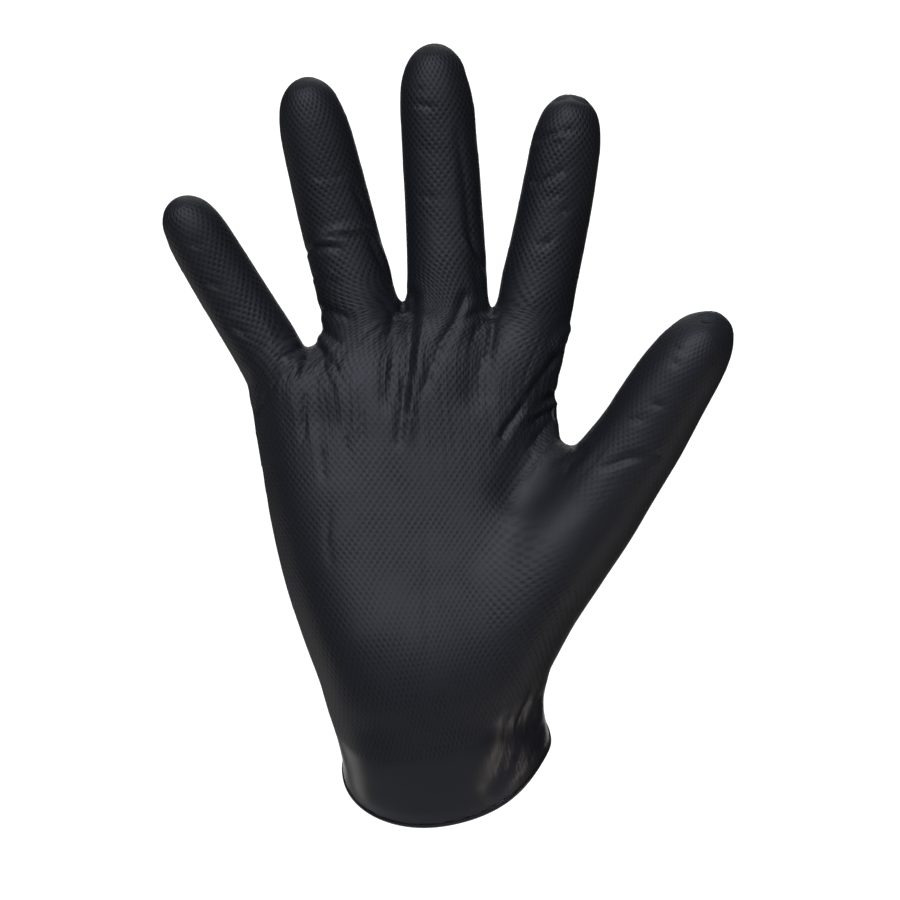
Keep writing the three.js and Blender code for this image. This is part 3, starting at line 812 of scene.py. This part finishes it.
film = bpy.data.objects.new("nitrile_film", film_mesh)
bpy.context.scene.collection.objects.link(film)
wall = film.modifiers.new("wall", "SOLIDIFY")
wall.thickness = FILM_SHOWN / 1000
wall.offset = -1


def linear(code):
    """sRGB hex to linear colour: (c / 12.92) when dark, ((c + 0.055) / 1.055) ^ 2.4 otherwise."""
    shares = np.array([int(code[k : k + 2], 16) for k in (1, 3, 5)]) / 255
    low, high = shares / 12.92, ((shares + 0.055) / 1.055) ** 2.4
    return (*np.where(shares <= 0.04045, low, high), 1.0)


def add(tree, kind, settings=None, **links):
    """Adds a node to a tree, sets its settings, and links or sets its inputs, named with _ for a blank or by n and
    their number."""
    made = tree.nodes.new(kind)
    for key, value in (settings or {}).items():
        setattr(made, key, value)
    for key, value in links.items():
        place = int(key[1:]) if key[0] == "n" and key[1:].isdigit() else key.replace("_", " ")
        if isinstance(value, bpy.types.NodeSocket):
            tree.links.new(value, made.inputs[place])
        else:
            made.inputs[place].default_value = value
    return made


# Sizes of the skin's patterns in mm: cloudy shifts of sheen, grain, and patches where the grip came out fainter. Real
# grain is a few hundredths of a millimetre and wouldn't show, so it is drawn coarser.
CLOUD_WIDE = 26.3
GRAIN_WIDE = 0.385
FAINT_WIDE = 8.33
GRAIN_HEIGHT = 0.006

# Depth of the grip's pits in mm and the painted shade that darkens them, where between ridge (1) and pit (-1) they
# sink, the height of the gathers' lines, their width and length as shares of a repeat's, and how much smoother the
# cuff is
PIT_DEPTH = 0.09
PIT_PAINTED_SHADE = 0.3
PIT_EDGES = (0.35, -0.9)
GATHER_HEIGHT = 0.7
GATHER_SQUEEZE = (0.42, 0.03, 0.0)
CUFF_SMOOTHER = 0.2


def dipped_nitrile(name, colour, tint, rough, gripped):
    """Black nitrile as dipped and chlorinated: satin, a touch blue where thin, with faint cloudy shifts of sheen and
    a skin finer than the eye makes out. The grip is pits in slanting rows with low ridges between them: the product
    of two cosines, with its low places sunk. Painted shade darkens the pits' colour and lowers their specular level.
    Noise squeezed along the grip gives the gathers' fine lines. Below the grip, the cuff has a smoother, glossier
    skin."""
    material = bpy.data.materials.new(name)
    material.use_nodes = True
    tree = material.node_tree
    skin = tree.nodes["Principled BSDF"]
    times, plus = {"operation": "MULTIPLY"}, {"operation": "MULTIPLY_ADD"}
    place = add(tree, "ShaderNodeTexCoord").outputs["Object"]
    cloud = add(tree, "ShaderNodeTexNoise", Vector=place, Scale=1000 / CLOUD_WIDE, Detail=3.0, Roughness=0.55)
    cloud = cloud.outputs["Fac"]
    grain = add(tree, "ShaderNodeTexNoise", Vector=place, Scale=1000 / GRAIN_WIDE, Detail=2.0).outputs["Fac"]
    tone = add(tree, "ShaderNodeMix", {"data_type": "RGBA"}, n0=cloud, n6=linear(colour), n7=linear(tint)).outputs[2]
    height = add(tree, "ShaderNodeMath", times, n0=grain, n1=GRAIN_HEIGHT).outputs[0]
    rough_here = add(tree, "ShaderNodeMath", plus, n0=cloud, n1=0.1, n2=rough - 0.05).outputs[0]
    if gripped:
        lines = add(tree, "ShaderNodeAttribute", {"attribute_name": "grip"}).outputs["Vector"]
        apart = add(tree, "ShaderNodeSeparateXYZ", Vector=lines).outputs
        across = add(tree, "ShaderNodeMath", times, n0=apart[0], n1=2 * np.pi / GRIP_WIDE).outputs[0]
        up = add(tree, "ShaderNodeMath", times, n0=apart[1], n1=2 * np.pi / GRIP_TALL).outputs[0]
        wave = add(tree, "ShaderNodeMath", {"operation": "COSINE"}, n0=across).outputs[0]
        other = add(tree, "ShaderNodeMath", {"operation": "COSINE"}, n0=up).outputs[0]
        net = add(tree, "ShaderNodeMath", times, n0=wave, n1=other).outputs[0]
        pit = add(tree, "ShaderNodeMapRange", {"interpolation_type": "SMOOTHSTEP"}, Value=net, From_Min=PIT_EDGES[0],
                  From_Max=PIT_EDGES[1]).outputs[0]
        patches = add(tree, "ShaderNodeTexNoise", Vector=place, Scale=1000 / FAINT_WIDE, Detail=1.0).outputs["Fac"]
        faint = add(tree, "ShaderNodeMath", plus, n0=patches, n1=2.2, n2=-0.1).outputs[0]
        strength = add(tree, "ShaderNodeMath", times, n0=apart[2], n1=faint).outputs[0]
        pit = add(tree, "ShaderNodeMath", times, n0=pit, n1=strength).outputs[0]
        height = add(tree, "ShaderNodeMath", plus, n0=pit, n1=-PIT_DEPTH, n2=height).outputs[0]
        # Painted shade: the pits' colour is darkened, and their specular level lowered, where shade would fall in
        # them
        painted_pit_shade = add(tree, "ShaderNodeMath", plus, n0=pit, n1=-PIT_PAINTED_SHADE, n2=1.0).outputs[0]
        tone = add(tree, "ShaderNodeVectorMath", {"operation": "SCALE"}, n0=tone, Scale=painted_pit_shade).outputs[0]
        sheen = add(tree, "ShaderNodeMath", plus, n0=pit, n1=-0.5 * PIT_PAINTED_SHADE, n2=0.5).outputs[0]
        tree.links.new(sheen, skin.inputs["Specular IOR Level"])
        cuff = add(tree, "ShaderNodeAttribute", {"attribute_name": "cuff"}).outputs["Fac"]
        rough_here = add(tree, "ShaderNodeMath", plus, n0=cuff, n1=-CUFF_SMOOTHER, n2=rough_here).outputs[0]
        squeezed = add(tree, "ShaderNodeVectorMath", times, n0=lines, n1=GATHER_SQUEEZE).outputs[0]
        gathers = add(tree, "ShaderNodeAttribute", {"attribute_name": "gathers"}).outputs["Fac"]
        pleat = add(tree, "ShaderNodeTexNoise", Vector=squeezed, Scale=1.0, Detail=2.0, Roughness=0.6).outputs["Fac"]
        pleat = add(tree, "ShaderNodeMath", times, n0=pleat, n1=gathers).outputs[0]
        height = add(tree, "ShaderNodeMath", plus, n0=pleat, n1=GATHER_HEIGHT, n2=height).outputs[0]
    bump = add(tree, "ShaderNodeBump", Strength=1.0, Distance=0.001, Height=height)
    tree.links.new(tone, skin.inputs["Base Color"])
    tree.links.new(rough_here, skin.inputs["Roughness"])
    tree.links.new(bump.outputs[0], skin.inputs["Normal"])
    skin.inputs["IOR"].default_value = 1.5
    return material


film_mesh.materials.append(dipped_nitrile("satin_black_nitrile", "#14151b", "#191a20", 0.58, True))
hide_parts("glove_film")
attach(film, "root")

# Rolled bead: the film's own edge, rolled up on itself while still wet, so that the cuff doesn't tear. A round cord
# of rubber 2.1 mm thick that follows the hem's waves.
BEAD_RADIUS = 1.05
BEAD_INSET = 0.3
BEAD_BELOW = 0.75


def bead_grid(turns, sides):
    """A circle carried round the hem: its middle runs inside the mouth's oval by the inset, and below the hem by a
    share of the radius."""
    rim = mouth_section()
    side, along, palm = section_axes(rim[3], rim[4])
    angle = np.linspace(0, 2 * np.pi, turns, endpoint=False)
    power = 2 / rim[9]
    x = np.sign(np.cos(angle)) * np.abs(np.cos(angle)) ** power * (CUFF_WIDTH / 2 - BEAD_INSET)
    y = np.sign(np.sin(angle)) * np.abs(np.sin(angle)) ** power * (CUFF_DEPTH / 2 - BEAD_INSET)
    middle = x[:, None] * side + y[:, None] * palm
    outward = middle / np.linalg.norm(middle, axis=1, keepdims=True)
    middle -= (hem_drop(angle) + BEAD_BELOW * BEAD_RADIUS)[:, None] * along
    roll = np.linspace(0, 2 * np.pi, sides, endpoint=False)[None, :, None]
    return middle[:, None] + BEAD_RADIUS * (np.cos(roll) * outward[:, None] + np.sin(roll) * along)


def ring_mesh(name, grid):
    """A grid that closes on itself both ways, as one mesh."""
    rows, turns = grid.shape[:2]
    index = np.arange(rows * turns).reshape(rows, turns)
    after = np.roll(index, -1, 1)
    faces = np.stack([index, after, np.roll(after, -1, 0), np.roll(index, -1, 0)], -1).reshape(-1, 4)
    mesh = bpy.data.meshes.new(name)
    mesh.from_pydata((grid.reshape(-1, 3) / 1000).tolist(), [], faces.tolist())
    mesh.polygons.foreach_set("use_smooth", np.ones(len(faces), bool))
    return mesh


bead = bpy.data.objects.new("rolled_bead", ring_mesh("rolled_bead", bead_grid(480, 20)))
bpy.context.scene.collection.objects.link(bead)
bead.data.materials.append(dipped_nitrile("rolled_nitrile_edge", "#191a1d", "#1f1f23", 0.26, False))
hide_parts("cuff_bead")
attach(bead, "root")

# Studio: seamless white paper that hangs behind and runs forward as the floor, and wide soft lights. In metres.
PAPER_WIDTH = 1.7
PAPER_BACK = 1.9
PAPER_FRONT = -2.2
PAPER_FLOOR = -0.8
PAPER_TOP = 1.3
PAPER_CURVE = 0.4
ROOM_RADIUS = 6.0
PAPER_GLOW = 0.85
ROOM_LIGHT = 0.05


def paper_grid():
    """A sheet's profile, carried across: flat floor, a quarter circle, then upright."""
    turn = np.linspace(0, np.pi / 2, 33)
    y = PAPER_BACK - PAPER_CURVE + PAPER_CURVE * np.sin(turn)
    z = PAPER_FLOOR + PAPER_CURVE - PAPER_CURVE * np.cos(turn)
    y = np.concatenate([[PAPER_FRONT], y, [PAPER_BACK]])
    z = np.concatenate([[PAPER_FLOOR], z, [PAPER_TOP]])
    x = np.array([-PAPER_WIDTH / 2, PAPER_WIDTH / 2])
    return np.stack([np.repeat(x[None], len(y), 0), np.repeat(y[:, None], 2, 1), np.repeat(z[:, None], 2, 1)], -1)


paper_points = paper_grid()
count = len(paper_points)
strip = np.arange(2 * count).reshape(count, 2)
quads = np.stack([strip[:-1, 0], strip[:-1, 1], strip[1:, 1], strip[1:, 0]], -1)
paper_mesh = bpy.data.meshes.new("seamless_paper")
paper_mesh.from_pydata(paper_points.reshape(-1, 3).tolist(), [], quads.tolist())
paper_mesh.polygons.foreach_set("use_smooth", np.ones(len(quads), bool))
paper = bpy.data.objects.new("seamless_paper", paper_mesh)
bpy.context.scene.collection.objects.link(paper)
paper_look = bpy.data.materials.new("matt_white_paper")
paper_look.use_nodes = True
sheet = paper_look.node_tree.nodes["Principled BSDF"]
sheet.inputs["Base Color"].default_value = linear("#c4c4c4")
sheet.inputs["Roughness"].default_value = 0.9
sheet.inputs["Emission Color"].default_value = (1, 1, 1, 1)
behind = add(paper_look.node_tree, "ShaderNodeTexCoord").outputs["Object"]
height_here = add(paper_look.node_tree, "ShaderNodeSeparateXYZ", Vector=behind).outputs[2]
glow = add(paper_look.node_tree, "ShaderNodeMapRange", {"interpolation_type": "SMOOTHSTEP"}, Value=height_here,
           From_Min=PAPER_FLOOR, From_Max=PAPER_FLOOR + PAPER_CURVE, To_Min=0.0, To_Max=PAPER_GLOW)
paper_look.node_tree.links.new(glow.outputs[0], sheet.inputs["Emission Strength"])
paper_mesh.materials.append(paper_look)

# The room beyond the paper is white to the eye, but flagged off the glove, so that it lights nothing.
bpy.ops.mesh.primitive_uv_sphere_add(segments=48, ring_count=24, radius=ROOM_RADIUS)
room = bpy.context.object
room.name = "white_room"
room_look = bpy.data.materials.new("white_wall")
room_look.use_nodes = True
wall_look = room_look.node_tree.nodes["Principled BSDF"]
wall_look.inputs["Base Color"].default_value = (0, 0, 0, 1)
wall_look.inputs["Specular IOR Level"].default_value = 0
wall_look.inputs["Emission Color"].default_value = (1, 1, 1, 1)
wall_look.inputs["Emission Strength"].default_value = 0.9
room.data.materials.append(room_look)
room.visible_diffuse = room.visible_glossy = room.visible_transmission = room.visible_shadow = False

world = bpy.data.worlds.new("dim_room")
bpy.context.scene.world = world
world.use_nodes = True
world.node_tree.nodes["Background"].inputs[0].default_value = linear("#ffffff")
world.node_tree.nodes["Background"].inputs[1].default_value = ROOM_LIGHT

# Each soft light: where it stands and where it points in m, its width, height and watts, and its colour
SOFT_LIGHTS = {
    "top_front": ((-0.3, -1.9, 1.1), (0, 0, 0.1), 1.2, 0.9, 36, "#ebefff"),
    "left_side": ((-1.05, 0.6, -0.5), (0, 0, 0.0), 0.45, 0.6, 1.6, "#fffdfa"),
    "right_side": ((0.85, -0.15, -0.65), (0, 0, 0.0), 0.15, 0.4, 1.1, "#fff2e6"),
    "paper_wash": ((0, 0.9, 1.9), (0, 1.9, 0.4), 2.0, 0.5, 30, "#ffffff"),
}
for name, (stand, aim, wide, tall, watts, tone) in SOFT_LIGHTS.items():
    box = bpy.data.lights.new(name, "AREA")
    box.shape = "RECTANGLE"
    box.size, box.size_y = wide, tall
    box.energy = watts
    box.color = linear(tone)[:3]
    light = bpy.data.objects.new(name, box)
    light.location = stand
    light.rotation_euler = (Vector(aim) - Vector(stand)).to_track_quat("-Z", "Y").to_euler()
    light.visible_camera = False
    bpy.context.scene.collection.objects.link(light)

bpy.context.scene.view_settings.view_transform = "Standard"
